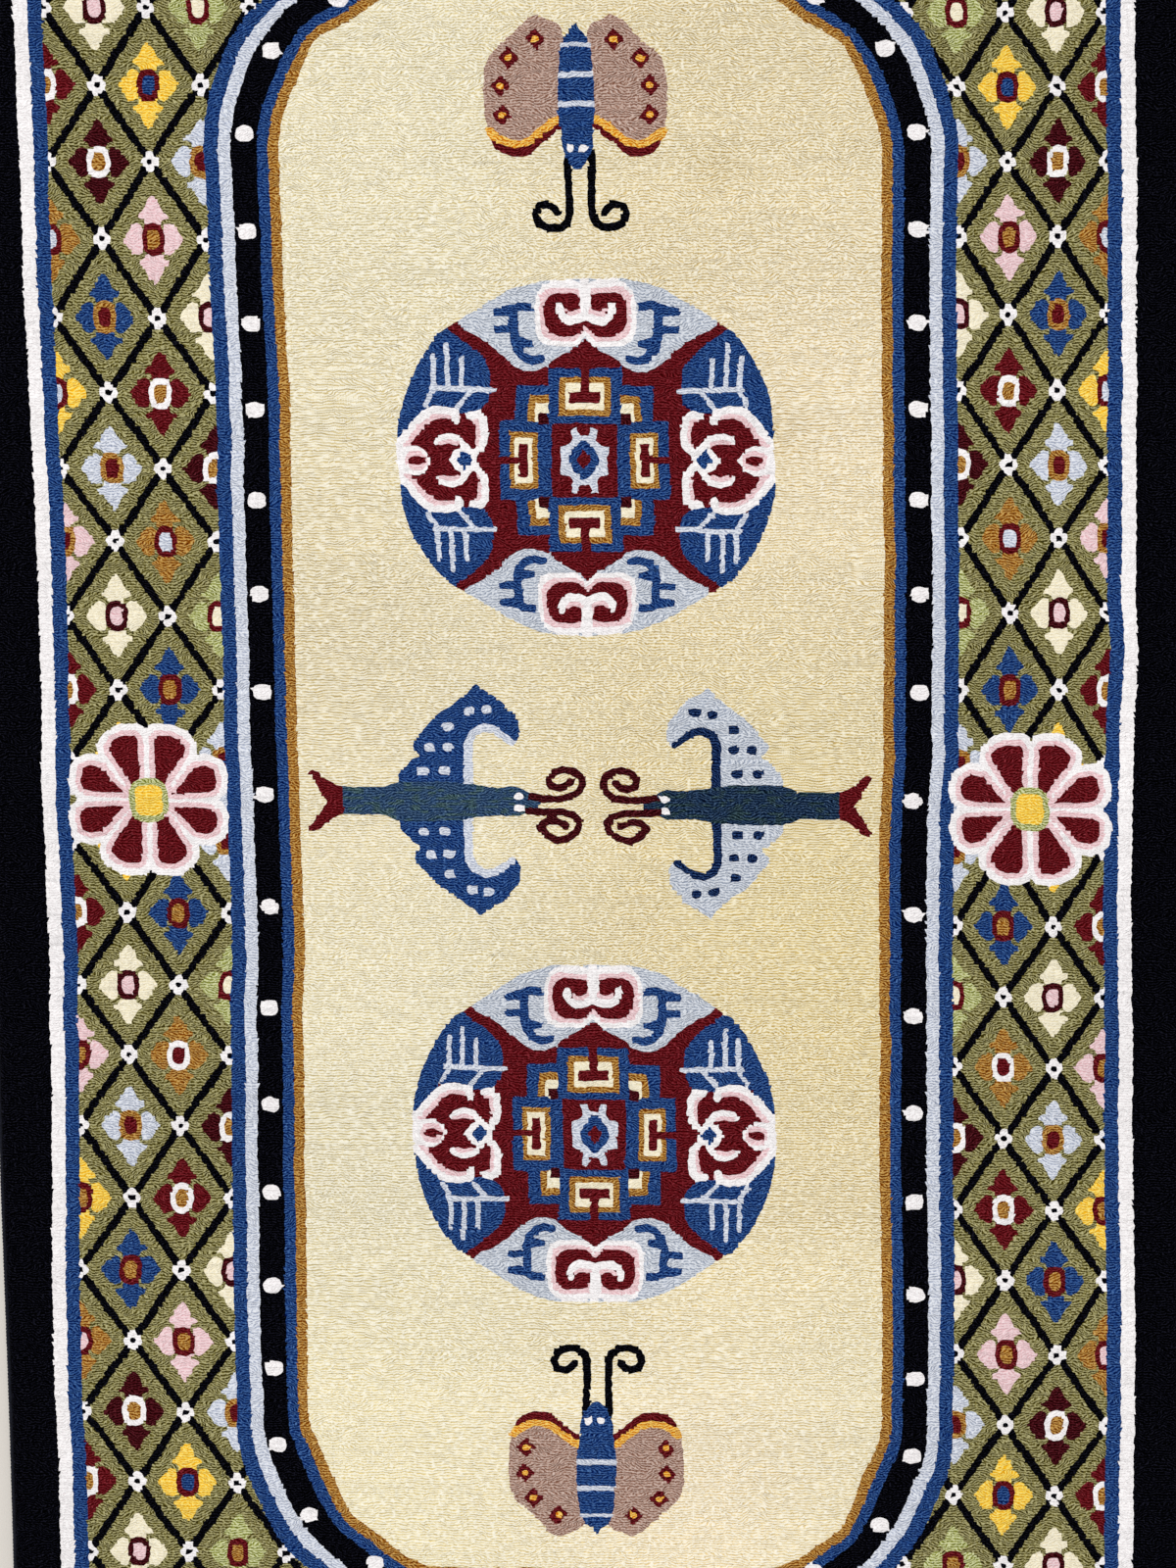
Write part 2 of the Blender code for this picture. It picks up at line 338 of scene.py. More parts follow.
def paint_medallion(chart):
    inside = Chart(chart.x, chart.y, np.zeros(len(chart.yarn), np.int8), chart.index)
    inside.patch(MEDALLION_EDGE, "white")
    chart = chart.keep(inside.yarn[chart.index] == YARN["white"])
    chart.set(np.ones(len(chart.x), bool), "crimson")
    # pale lobes with a blue branch
    chart.patch(PALE_LOBE, "ash")
    branch = [
        [(33, 97), (33, 91.5), (43, 91.5), (43.5, 87.5), (56.5, 88), (56.5, 92.5), (50, 94), (44, 95.5),
         (42, 97)],
        [(41.5, 93), (47, 93), (47, 74), (41.5, 74)],
        [(45.5, 82), (56.5, 82), (56.5, 77.5), (45.5, 77)],
        [(32.5, 73.5), (32.5, 70), (44, 68), (46.5, 76), (38, 75)],
    ]
    for bar in branch:
        chart.patch(bar, "blue")
    chart.line([(44, 75), (42.5, 68), (38.5, 63.5), (33, 61.5), (27.5, 62.8)], (6, 5), "blue")
    # white edged scrolls
    chart.patch([
        (0, 107), (3, 108.5), (8, 111), (20, 111), (26, 108), (30, 103), (31.5, 95), (31.5, 79), (29, 73.5),
        (24, 70.4), (6, 70), (0, 76.2)], "white")
    chart.patch([
        (4, 105.5), (22, 106.3), (27.5, 103), (28.6, 97), (28.6, 81), (26.2, 76.5), (21.5, 73.7), (7, 73.4),
        (3, 76.6), (0, 79.8), (0, 92), (3, 92)], "pink")
    chart.patch([(3.2, 92), (0, 88), (0, 82)], "white")
    chart.box(-1, 3, 88, 120, "white")
    chart.patch([
        (0, 86.2), (0, 83), (3, 79.6), (5.5, 76.9), (9, 76), (17.5, 76.3), (22.2, 78.6), (25.3, 83),
        (26, 90), (25.6, 96.6), (23.4, 100.6), (19.5, 102.8), (8.5, 102.8), (4.6, 101.2), (3.6, 98),
        (4.2, 91), (4, 84)], "crimson")
    chart.line([(0.5, 89), (5, 86.9), (10.5, 85.7), (14.5, 88.3), (16.6, 92), (16.2, 95)], (6, 4.2), "white")
    chart.line([(3.5, 91.6), (7.2, 90.2), (10.8, 90.2), (12.6, 92.6)], (2.8, 2.2), "pink")
    # blue side lobes with a pale comb
    chart.patch(BLUE_LOBE, "blue")
    for x, low, high in ((75.9, 43.5, 61.5), (84.9, 43.5, 69.5), (93.3, 43.5, 63)):
        chart.line([(x, low), (x, high)], 3.1, "pale")
    chart.line([(57, 43), (95, 43.7)], 3.1, "pale")
    chart.line([(93.5, 42), (98.5, 34)], 3, "pale")
    chart.line([(70.5, 42), (79, 32.5)], 3, "pale")
    # side scrolls
    chart.patch([
        (79, 30), (86, 33), (95, 33), (100, 31), (105, 26), (111, 19), (118, 11), (121, 0),
        (78, 0)], "crimson")
    arch = [
        (79.5, 24.5), (80.5, 29.5), (87, 31), (94.5, 30.8), (99, 28.5), (103.5, 24.5), (108.5, 18.5),
        (113.5, 12.5), (118, 8)]
    chart.line([(x - 1.8, y - 3) for x, y in arch[1:]], 4.4, "pink")
    chart.line(arch, 4.6, "white")
    bracket = [(71, 27.5), (66, 28), (63, 24.5), (62.4, 15), (63.4, 9.5), (67.5, 5), (70.5, 1.5)]
    chart.line([(x + 2.8, y - 2.2) for x, y in bracket[1:-1]], 3.4, "pink")
    chart.line(bracket, 4.6, "white")
    chart.line([
        (91.6, 11), (89.5, 13.6), (83.5, 15.2), (78.5, 13.8), (74.5, 9), (70.5, 4)], (3.4, 4.2), "white")
    chart.line([(89.5, 10.5), (84, 11.9), (79.5, 10.5)], 2.8, "pink")
    chart.patch([(66, 0), (72, 5.5), (76, 8), (80, 6.5), (84.5, 0)], "white")
    chart.patch([(69.5, 0), (74.6, 6.3), (80, 0)], "blue")
    # tear drop at each side
    chart.patch([(94.5, 0), (99, 6.5), (104, 9.5), (111, 8.5), (118, 8), (121, 0)], "white")
    chart.oval(104.8, 0, 7.2, 6.3, "pink")
    chart.oval(104.8, 0, 5.3, 2.9, "crimson")
    for bar in CROSS:
        chart.box(*bar)
    chart.patch([(22.6, 40.5), (34.5, 40.3), (36, 24.5), (22.6, 24)], "gold")
    chart.patch([(22.6, 35.5), (30.8, 35.5), (31.2, 24), (22.6, 23.5)], "bone")
    chart.box(22.6, 29, 22.4, 29.4, "wine")
    # centre ornament
    chart.patch([
        (0, 15.5), (2.5, 14.8), (5, 20.6), (8.4, 19.6), (7.2, 12.6), (9.8, 9.6), (15, 8.4), (14.2, 0),
        (0, 0)], "pale")
    chart.patch([(0, 12.6), (1.6, 12), (6.8, 6.4), (9.6, 1.2), (9.6, 0), (0, 0)], "blue")
    chart.patch([(0, 6.2), (4.8, 0), (0, 0)], "crimson")


# where the wings begin, and the same of a squashed butterfly, whose wings are shorter by this share
WING_ROOT, SQUASHED_ROOT, SQUASH = 405.8, 404.5, 0.031
WING_SPOTS = ((24.8, 477.2), (41.2, 466), (46.6, 449), (46, 431.2))
SPOT = [(0, 6.3), (3, 3), (5.8, 0.6), (3.4, -2.4), (0, -6.2), (-2.8, -3), (-5.8, -0.6), (-3.2, 2.6)]


def paint_butterfly(whole, squash, stout, feelers):
    """The wings are shorter by the squash, and the body wider by the stoutness."""
    root = SQUASHED_ROOT * squash + WING_ROOT * (1 - squash)
    height = WING_ROOT + (whole.y - root) / (1 - SQUASH * squash)
    chart = Chart(np.abs(whole.x), height, whole.yarn, whole.index)
    chart.patch([
        (8, 483), (12, 487.5), (17, 489), (23.5, 492.5), (31, 489), (38, 481), (46, 474), (53.5, 467),
        (56.5, 460), (57.2, 449), (56.8, 432), (55, 418), (30, 408), (8, 420)], "mauve")
    chart.patch([
        (7, 424), (10, 431), (14, 430.5), (22, 425), (30, 418.5), (36, 416), (42, 416.5), (48, 420),
        (53, 424), (57, 423), (56, 400), (20, 400)], "amber")
    chart.patch([
        (7, 420), (10, 426.5), (14, 424.8), (22, 418.5), (30, 412.7), (38, 411.5), (45, 412.5),
        (50.5, 415.5), (53, 416), (60, 400), (20, 395)], "crimson")
    chart.patch([
        (57.5, 423), (53.8, 416.2), (51.2, 411.5), (47.5, 408), (40.5, 405.8), (31.5, 406.2), (26, 410.3),
        (18, 417.2), (10.5, 423), (0, 424), (0, 350), (70, 350), (70, 423)], "cream")
    for x, y in WING_SPOTS:
        chart.patch([(x + across, y + along) for across, along in SPOT], "crimson", 0.5)
        chart.oval(x, y, 2.5, 2.1, "amber")
    feeler = [
        (7.2, 408), (8, 402), (7.2, 392), (6.9, 380), (6.9, 371), (8.6, 366), (13, 362.6), (20.5, 362.4),
        (26.3, 365.2), (28.2, 370.5), (26, 375.8), (20.5, 377), (16.2, 374.4), (14.8, 372)]
    for side in (-1, 1):
        whole.line([(side * x + feelers[0], y + feelers[1]) for x, y in feeler], 5, "black")
    chart = Chart(np.abs(whole.x - 0.6 * squash) / stout, whole.y, whole.yarn, whole.index)
    body = [
        (0.8, 486), (2.5, 483), (6, 480), (9.5, 474), (10.6, 465), (11.6, 450), (11.6, 432), (10, 421),
        (9.7, 412), (7.6, 406.5), (5.2, 402), (2.2, 397.8), (0, 397.5), (0, 486.5)]
    chart.patch(body, "blue")
    for half_width, low, high in ((10.2, 472.3, 474.8), (11.4, 454, 457.4), (12, 436.3, 439.8)):
        chart.box(-1, half_width, low, high, "pale")
    whole.oval(-4.4, 410.6, 2.5, 2.6, "white")
    whole.oval(3.4, 410.6, 2.7, 2.4, "white")


WING = [
    (-120, 11), (-121, 15), (-119.5, 20), (-115, 23.5), (-111, 28.5), (-107.5, 29), (-108, 31.5),
    (-111, 34.5), (-112, 38), (-108, 43), (-102, 50), (-96, 56.5), (-88, 61.5), (-80, 67.5), (-75, 70.5),
    (-70, 76), (-66, 72.5), (-60, 69), (-54, 65), (-49, 58.5), (-44, 53), (-43.6, 48), (-43, 43),
    (-45, 39.3), (-47.5, 36.5), (-53, 40), (-58, 44.5), (-64, 46), (-70, 43.5), (-73.5, 38), (-73.6, 11)]
WING_TRIM = [(-76.4, 11), (-76.4, 38), (-73, 44.2), (-66.5, 48), (-60, 46.6), (-54, 42.4), (-48.5, 38.5)]
WING_DOTS = ((-75.3, 58.5), (-64, 59.5), (-89.3, 48.6), (-100.8, 35.3), (-89, 35.3), (-105, 20), (-91.5, 20))
BIRD_BODY = [
    (-158, 8.8), (-130, 8.8), (-127, 10.5), (-120, 12.6), (-105, 12.8), (-92, 12.6), (-80, 11.8), (-68, 10),
    (-58, 8.8), (-46, 9.6), (-41.5, 8), (-37, 5.5), (-33, 4), (-29, 0)]
BIRD_TAIL = [
    (-156.8, 8.6), (-162, 10.4), (-168, 14.2), (-171.5, 18), (-176, 19.8), (-178.6, 17.8), (-174.5, 12),
    (-171, 6), (-166.5, 0)]
# the lower wing is worked a little shorter than the upper one
WING_LENGTHS = {-1: 0.965, 1: 0.985}
SCROLLS = (
    [
        (-36, 4.6), (-28, 3.2), (-18, 2.8), (-10, 4.4), (-5, 8), (-3, 12.5), (-4.4, 17), (-9, 20.8),
        (-16, 21.8), (-21.5, 20.2), (-24.8, 15.5), (-23.5, 11.5), (-18.5, 9.8), (-14, 11), (-11.5, 13.8)],
    [
        (-38, -4.8), (-28, -5.4), (-17, -5.3), (-9, -7.2), (-5, -12), (-7, -17.5), (-13, -22), (-20, -23.6),
        (-26, -20.6), (-30.8, -15), (-27, -11.6), (-20, -11), (-14.5, -13.8)],
)


def mirrored(points):
    """An outline's points followed by their mirror below the axis, as one closed outline."""
    return points + [(x, -y) for x, y in reversed(points)]


def paint_bird(chart, wing, trim, body, narrow):
    """x runs from the tail at -178 to the head at -29; the wings' front is narrower by so much."""
    for side, length in WING_LENGTHS.items():
        def drawn(points):
            return [(x - narrow * min(max((x + 85) / 12, 0), 1), side * y * length) for x, y in points]

        chart.patch(drawn(WING), wing)
        chart.line(drawn(WING_TRIM), (6.2, 4.2), trim)
        for x, y in WING_DOTS:
            chart.oval(x, side * y * length, 3.6, 2.8, trim, power=2.5)
    chart.patch(mirrored(BIRD_BODY), body)
    chart.patch(mirrored(BIRD_TAIL), "crimson")
    for side in (-1, 1):
        chart.oval(-44.4, 3.7 * side - 0.4, 3.1, 2.4, "white")


def paint_scrolls(chart):
    for scroll in SCROLLS:
        chart.line(scroll, 4.7, "wine")
        chart.oval(scroll[-1][0], scroll[-1][1], 2.9, 2.7, "wine")


# The whole design
ROSETTES = ((-281.3, 0.4), (281.5, -2.2))
# of each butterfly: which way up, offset along the rug, axis, squash, stoutness, shift of the feelers
BUTTERFLIES = ((1, 0.5, 0.9, 0, 1, (1.5, -0.6)), (-1, 8.3, 2.2, 1, 1.12, (1.4, 0.4)))
MIDDLE_DOTS = ((-206.2, 4.2), (207.4, 2.6))
TOP_MEDALLION, LOW_MEDALLION, MEDALLION_REACH = (2.2, 216.8), (2.2, -213.9), (122, 116)
# the tail end and half span that hold a bird, and the same of its scrolls
BIRD_REACH, SCROLL_REACH = (185, 82), (60, 30)
# how far the top medallion sways across the rug, by the place along it; beyond a point of its upper right,
# and over such a distance, it also leans outwards by up to so much
SWAY = ((130, 216, 300), (-0.3, -1.1, 1.4))
LEAN_FROM, LEAN_OVER, LEAN_MOST = (42, 233), (38, 30), 1.8
# from the medallion's middle, where it begins to stray, and over what distance
STRAY_FROM, STRAY_OVER = 70, 45
# round the top medallion in degrees, how far its rim strays outwards
TOP_STRAY = (
    (0, 2.2), (30, 1.8), (55, 2.8), (85, 0.4), (110, 0.4), (135, 2.4), (165, 0.9), (190, -0.4), (215, -0.6),
    (245, -4.2), (268, -2), (292, -4.4), (315, -1.6), (348, 3.2), (360, 2.2))
# along the rug, how far the inner and the outer bands of each side stray outwards; the lattice between
# them starts at this distance across the rug and is so wide
WANDER_FROM, WANDER_OVER = 234, 97
HALVES_JOIN = 100
LEFT_WANDER = (
    (-440, -1.5, -0.2), (-400, -1.9, 1.9), (-320, -1.3, 2), (-240, -1.4, 0.1), (-180, -1.8, -0.5),
    (-140, -1.7, -0.8), (-100, -3.6, -1.2), (-60, -3.8, -1.2), (0, -3.1, 0.4), (40, -2.2, -0.6),
    (120, -2.4, -1.4), (200, -2.3, -1.3), (240, -3.1, 0.3), (290, -2.1, 0.7), (340, -0.8, 0.8),
    (400, -0.9, 0.6))
RIGHT_WANDER = (
    (-400, 0.6, 1.9), (-360, 0.6, 1.6), (-280, 0.2, 0), (-240, -1.1, -1.5), (-200, -1.2, -1.9),
    (-140, -1.5, -2.6), (-60, -1.8, -4.3), (-10, -0.8, -3.4), (30, 2.3, -3.2), (100, 2.7, -0.4),
    (140, 3.2, -1.5), (200, 2.9, -1.3), (250, 2.7, -1.3), (300, 3, -1.4), (340, 3.5, -0.9), (400, 4.4, -0.9))
# along the rug, how far each lattice strays outwards from its bands, and along the rug
LEFT_LATTICE = (
    (-448, -0.1, 0.7), (-307, 0.3, 0.9), (-260, -0.6, 1.4), (-213, 0.1, 2.1), (-166, 0.4, 1.4),
    (-119, 0.3, 0.3), (-72, 0.4, 0.3), (72, 1.1, -1.6), (119, 1.6, -2.1), (166, 1.1, -1.5), (213, 1.2, -2.2),
    (307, 0.5, -1.9), (354, 0.7, 0.2), (401, 1.3, 0.9), (448, 1.1, 1.4), (495, 0.4, 1.8))
RIGHT_LATTICE = (
    (-448, -0.2, -0.8), (-401, 0.8, -1.3), (-354, 0.3, -1.9), (-307, -0.5, 0.2), (-260, -0.3, -0.7),
    (-213, 0, -0.8), (-166, -0.2, -1.7), (-119, -0.1, -3.2), (-72, 0.4, -4.7), (-20, 0.3, -1.5),
    (40, 0.3, 0.6), (72, 0.3, 0.8), (119, 0.3, 3), (166, 0.6, 3), (213, 0.5, 1.6), (260, 0.1, 0.8),
    (307, 0.7, 1.2), (354, 0.3, 2.1), (401, 0, 1.4), (448, 0.1, -0.1), (495, -0.5, -1.6))


def rounded(u, v, centre, strays):
    """The points of an uneven disc, moved to where they lie in an even one."""
    x, y = u - centre[0], v - centre[1]
    far = np.maximum(np.hypot(x, y), 1e-6)
    turns, outwards = np.array(strays).T
    stray = np.interp(np.degrees(np.arctan2(y, x)) % 360, turns, outwards)
    share = 1 - stray * grown(far, STRAY_FROM, STRAY_OVER) / far
    return centre[0] + x * share, centre[1] + y * share


def colour_at(u, v):
    """The yarn at each point of the straightened design."""
    shape = u.shape
    u, v = u.ravel(), v.ravel()
    yarn = np.zeros(len(u), np.int8)
    every = Chart(u, v, yarn)
    for side, wanders, strays in ((-1, LEFT_WANDER, LEFT_LATTICE), (1, RIGHT_WANDER, RIGHT_LATTICE)):
        for end in (-1, 1):
            some = np.flatnonzero((side * u >= 0) & (end * v >= 0))
            x, y = side * u[some], v[some]
            along, inner, outer = np.array(wanders).T
            inner = np.interp(y, along, inner)
            outer = np.interp(y, along, outer)
            share = grown(x, WANDER_FROM, WANDER_OVER)
            # nothing strays where the two halves meet
            fade = grown(x, 0, HALVES_JOIN)
            border = Chart(x - fade * (inner + (outer - inner) * share), end * y, yarn, some)
            along, outwards, rise = np.array(strays).T
            strayed = Chart(border.x - fade * np.interp(y, along, outwards),
                            end * (y - fade * np.interp(y, along, rise)), yarn, some)
            paint_borders(border, strayed, side, end)
    for centre in MIDDLE_DOTS:
        every.motif(centre, (8, 8)).oval(0, 0, name="white", **DOT_SIZE)
    for centre in ROSETTES:
        paint_rosette(every.motif(centre, (60, 60), fold="xy"))
    lean = LEAN_MOST * grown(u, LEAN_FROM[0], LEAN_OVER[0]) * grown(v, LEAN_FROM[1], LEAN_OVER[1])
    sway = np.interp(v, *SWAY)
    top = Chart(*rounded(u - sway - lean, v, TOP_MEDALLION, TOP_STRAY), yarn)
    paint_medallion(top.motif(TOP_MEDALLION, MEDALLION_REACH, (1.01, 1.009), fold="xy"))
    paint_medallion(every.motif(LOW_MEDALLION, MEDALLION_REACH, (1, 0.989), fold="xy"))
    for flip, offset, axis, squash, stout, feelers in BUTTERFLIES:
        y = flip * v + offset
        whole = Chart(u - axis, y, yarn).keep((np.abs(u - axis) < 66) & (y > 350) & (y < 500))
        paint_butterfly(whole, squash, stout, feelers)
    # two birds, beak to beak, in swapped colours
    paint_bird(every.motif((0.4, 0.6), BIRD_REACH), "blue", "pale", "teal", 0)
    paint_scrolls(every.motif((0.2, -0.5), SCROLL_REACH))
    paint_bird(every.motif((6, -0.6), BIRD_REACH, (-0.983, 1)), "ash", "ink", "deep", 2.6)
    paint_scrolls(every.motif((7, -0.9), SCROLL_REACH, (-1, 1)))
    return yarn.reshape(shape)


# The rug as it lies
MM = 0.001
RUG_WIDTH, RUG_LENGTH, PILE_TOP = 760, 1420, 12.5
CORD_WIDTH, CORD_HEIGHT, CORD_SHORT, SEAM_GAP = 4.5, 6.4, 2, 0.3
EDGE_WAVES = {
    "left": ((2.4, 1900, 0.12), (0.7, 370, 0.55)),
    "right": ((0.9, 1300, 0.3), (0.6, 430, 0.15)),
    "near": ((2.2, 950, 0.4), (0.6, 210, 0.2)),
    "far": ((1.8, 880, 0.05), (0.7, 240, 0.7)),
}
TREAD_WAVES = ((310, 520, 0.2), (830, 290, 1.9))
PILE_HOLLOW = 0.5
ROW_SLOPE = 0.01855
DESIGN_SCALE = 0.985
BOW, BOW_REACH = 3.1, 500
KNOT = 3.39
HALF_KNOT = KNOT / 2
PILE_WIDTH = RUG_WIDTH - 2 * (CORD_WIDTH + SEAM_GAP)
# From the foot of the pile's side up to its flat top: how far in, and how far below the top
RIM = ((0.9, 10.2), (0.45, 7.6), (0, 5.2), (0.35, 3.2), (1.4, 1.5), (3, 0.45), (4.9, 0))
BASE_TOP = 2.6
EVEN_ROWS = 510
ROW_COUNT = round((RUG_LENGTH - 2 * RIM[-1][0]) / HALF_KNOT)
ROW_PITCH_MM = 2 * (RUG_LENGTH - 2 * RIM[-1][0]) / ROW_COUNT
FIRST_CREST = RIM[-1][0] - RUG_LENGTH / 2
STRIPS = 4
random = np.random.default_rng(20)


def wave_sum(place, waves):
    return sum(depth * (1 - np.cos(2 * np.pi * (place / length + phase))) / 2
               for depth, length, phase in waves)


def edge_inset(edge, place):
    reach = RUG_LENGTH if edge in ("left", "right") else RUG_WIDTH
    samples = reach * (np.arange(201) / 200 - 0.5)
    return wave_sum(place, EDGE_WAVES[edge]) - wave_sum(samples, EDGE_WAVES[edge]).min()


def to_edges(across, along):
    """Moves points of a straight-edged rug to where its wavy edges put them."""
    half_width, half_length = PILE_WIDTH / 2, RUG_LENGTH / 2
    side = np.where(across < 0, edge_inset("left", along), edge_inset("right", along))
    end = np.where(along < 0, edge_inset("near", across), edge_inset("far", across))
    x = across - np.sign(across) * side * np.abs(across) / half_width
    # rows of knots stay even, and only those near an end follow its wavy edge
    y = along - np.sign(along) * end * grown(np.abs(along), EVEN_ROWS, half_length - EVEN_ROWS)
    return x, y


def tread_drop(across, along):
    turns = (2 * np.pi * (across / wide + along / long) + phase for wide, long, phase in TREAD_WAVES)
    return sum(PILE_HOLLOW * (1 - np.cos(turn)) / (2 * len(TREAD_WAVES)) for turn in turns)


def design_place(x, y):
    """The design's own straight coordinates of a point of the rug."""
    x, y = x / DESIGN_SCALE, y / DESIGN_SCALE
    return x - BOW * (1 - (y / BOW_REACH) ** 2), y + ROW_SLOPE * x


def smooth_noise(shape, spacing):
    """Random values from -1 to 1 on a grid, smooth over so many of its steps each way."""
    coarse = random.uniform(-1, 1, (int(shape[0] / spacing[0]) + 3, int(shape[1] / spacing[1]) + 3))
    rows = np.arange(shape[0]) / spacing[0]
    columns = np.arange(shape[1]) / spacing[1]
    row, column = rows.astype(int), columns.astype(int)
    a = (rows - row)[:, None]
    b = (columns - column)[None, :]
    a, b = a * a * (3 - 2 * a), b * b * (3 - 2 * b)
    near = coarse[row][:, column] * (1 - b) + coarse[row][:, column + 1] * b
    far = coarse[row + 1][:, column] * (1 - b) + coarse[row + 1][:, column + 1] * b
    return near * (1 - a) + far * a


# The drawn chart, on a fine grid
CHART_STEP = HALF_KNOT / 4
CHART_HALF = (382, 714)
CHART_MARGIN = 10
# in millimetres: how far each row's tufts lean, places drift across and along the rug, and knots stray
LEAN, DRIFT, RISE, STRAY = 0.6, 0.6, 0.5, 0.35


class Sampler:
    """The chart drawn once on a fine grid of the rug, with each row's tufts a little out of line."""

    def __init__(self):
        self.columns = int(2 * CHART_HALF[0] / CHART_STEP)
        self.rows = int(2 * CHART_HALF[1] / CHART_STEP)
        x = -CHART_HALF[0] + (np.arange(self.columns) + 0.5) * CHART_STEP
        y = -CHART_HALF[1] + (np.arange(self.rows) + 0.5) * CHART_STEP
        x, y = np.meshgrid(x, y)
        u, v = design_place(x, y)
        reach = CHART_HALF[1] + CHART_MARGIN
        tuft = smooth_noise((int(2 * reach / HALF_KNOT) + 2, self.columns), (1, 11))
        row = ((y + ROW_SLOPE * x + reach) / HALF_KNOT).astype(int)
        lean = tuft[row, np.arange(self.columns)[None, :]]
        drift = smooth_noise((self.rows, self.columns), (60, 80))
        rise = smooth_noise((self.rows, self.columns), (70, 50))
        u = u + LEAN * lean + DRIFT * drift
        v = v + RISE * rise + STRAY * smooth_noise((self.rows, self.columns), (5, 6))
        self.yarn = colour_at(u, v)

    def place(self, x, y):
        column = np.clip(((x + CHART_HALF[0]) / CHART_STEP).astype(int), 0, self.columns - 1)
        row = np.clip(((y + CHART_HALF[1]) / CHART_STEP).astype(int), 0, self.rows - 1)
        return row, column

    def at(self, x, y):
        row, column = self.place(x, y)
        return self.yarn[row, column]

    def to_border(self, x, y, direction):
        """How far each point is from the nearest change of yarn along one axis."""
        row, column = self.place(x, y)
        here = self.yarn[row, column]
        found = np.zeros(x.shape)
        for step in (3, 2, 1):
            for sign in (-1, 1):
                r = np.clip(row + sign * step * direction[1], 0, self.rows - 1)
                c = np.clip(column + sign * step * direction[0], 0, self.columns - 1)
                found = np.where(self.yarn[r, c] != here, sign * (step - 0.5) * CHART_STEP, found)
        return found


def rim_places(size, spacing):
    inner = size - 2 * RIM[-1][0]
    count = round(inner / spacing)
    even = -inner / 2 + inner * np.arange(1, count) / count
    low = np.array([-size / 2 + inset for inset, _ in RIM])
    return np.concatenate([low, even, -low[::-1]])


def from_ends(count):
    """How many places each one is from the nearer end."""
    return np.minimum(np.arange(count), np.arange(count)[::-1])


# relief in millimetres: of the rows, knots and clumps of pile, the groove between two yarns, and how far
# the tufts at the rim stand out
ROW_RELIEF, KNOT_RELIEF, CLUMP_RELIEF, GROOVE, BULGE = 0.11, 0.05, 0.08, 0.26, 0.9
# the rows' slope fades out over this distance to each end
SLOPE_FADE = 200
# how far a point moves at most to a border between two yarns, in half knots
MOST_MOVED = 0.672


def build_pile_grid(sampler):
    """All the pile's points and the yarn of every face between them."""
    columns = rim_places(PILE_WIDTH, HALF_KNOT)
    rows = rim_places(RUG_LENGTH, HALF_KNOT)
    across, along = np.meshgrid(columns, rows)
    # rows follow the slope of the knots, and run straight again at the two ends
    fade = grown(RUG_LENGTH / 2 - np.abs(along), 0, SLOPE_FADE)
    tilted = along - ROW_SLOPE * across * fade
    x, y = to_edges(across, tilted)
    # each point on a border between two yarns goes to that border
    mid_x = (x[:-1, :-1] + x[1:, :-1] + x[:-1, 1:] + x[1:, 1:]) / 4
    mid_y = (y[:-1, :-1] + y[1:, :-1] + y[:-1, 1:] + y[1:, 1:]) / 4
    yarn = sampler.at(mid_x, mid_y)
    mixed = np.zeros(x.shape, bool)
    mixed[1:-1, 1:-1] = ((yarn[1:, 1:] != yarn[:-1, :-1]) | (yarn[1:, :-1] != yarn[:-1, 1:])
                         | (yarn[1:, 1:] != yarn[1:, :-1]))
    mixed[:len(RIM)] = mixed[-len(RIM):] = False
    mixed[:, :len(RIM)] = mixed[:, -len(RIM):] = False
    border_x = sampler.to_border(x, y, (1, 0))
    border_y = sampler.to_border(x, y, (0, 1))
    both = (border_x != 0) & (border_y != 0)
    square = np.maximum(border_x ** 2 + border_y ** 2, 1e-9)
    move_x = np.where(both, border_x * border_y ** 2 / square, border_x)
    move_y = np.where(both, border_x ** 2 * border_y / square, border_y)
    limit = MOST_MOVED * HALF_KNOT
    x = x + np.where(mixed, np.clip(move_x, -limit, limit), 0)
    y = y + np.where(mixed, np.clip(move_y, -limit, limit), 0)
    # how many points in from each rim, and how high the pile stands there
    edge, side = from_ends(len(rows))[:, None], from_ends(len(columns))[None, :]
    step = np.minimum(np.minimum(edge, side), len(RIM) - 1)
    drop = np.array([down for _, down in RIM])[step]
    flat = step / (len(RIM) - 1)
    ridge = np.where(np.arange(len(rows)) % 2 == 0, 1, -1)[:, None]
    knot = smooth_noise(x.shape, (1, 2.4))
    clump = smooth_noise(x.shape, (9, 11))
    relief = ROW_RELIEF * ridge * (0.75 + 0.4 * smooth_noise(x.shape, (2, 4)))
    relief = relief + KNOT_RELIEF * knot + CLUMP_RELIEF * clump - np.where(mixed, GROOVE, 0)
    z = PILE_TOP - drop - tread_drop(across, along) + relief * np.clip(flat, 0.25, 1)
    # tufts at the rug's edges stand out unevenly over the cords
    bulge = np.clip(1 - np.abs(step - 3) / 3, 0, 1) * (0.55 + 0.45 * smooth_noise(x.shape, (2, 2)))
    x = x + np.where(side == step, np.sign(across) * bulge * BULGE, 0)
    y = y + np.where(edge == step, np.sign(along) * bulge * BULGE, 0)
    return x, y, z, yarn


def grid_normals(x, y, z):
    points = np.stack([x, y, z], -1)
    across = np.gradient(points, axis=1)
    along = np.gradient(points, axis=0)
    normal = np.cross(across, along)
    return normal / np.maximum(np.linalg.norm(normal, axis=-1, keepdims=True), 1e-12)


def grid_quads(rows, columns):
    """The corners of each cell of a grid of points, by their places in it."""
    place = np.arange(rows * columns).reshape(rows, columns)
    return np.stack([place[:-1, :-1], place[:-1, 1:], place[1:, 1:], place[1:, :-1]], -1).reshape(-1, 4)


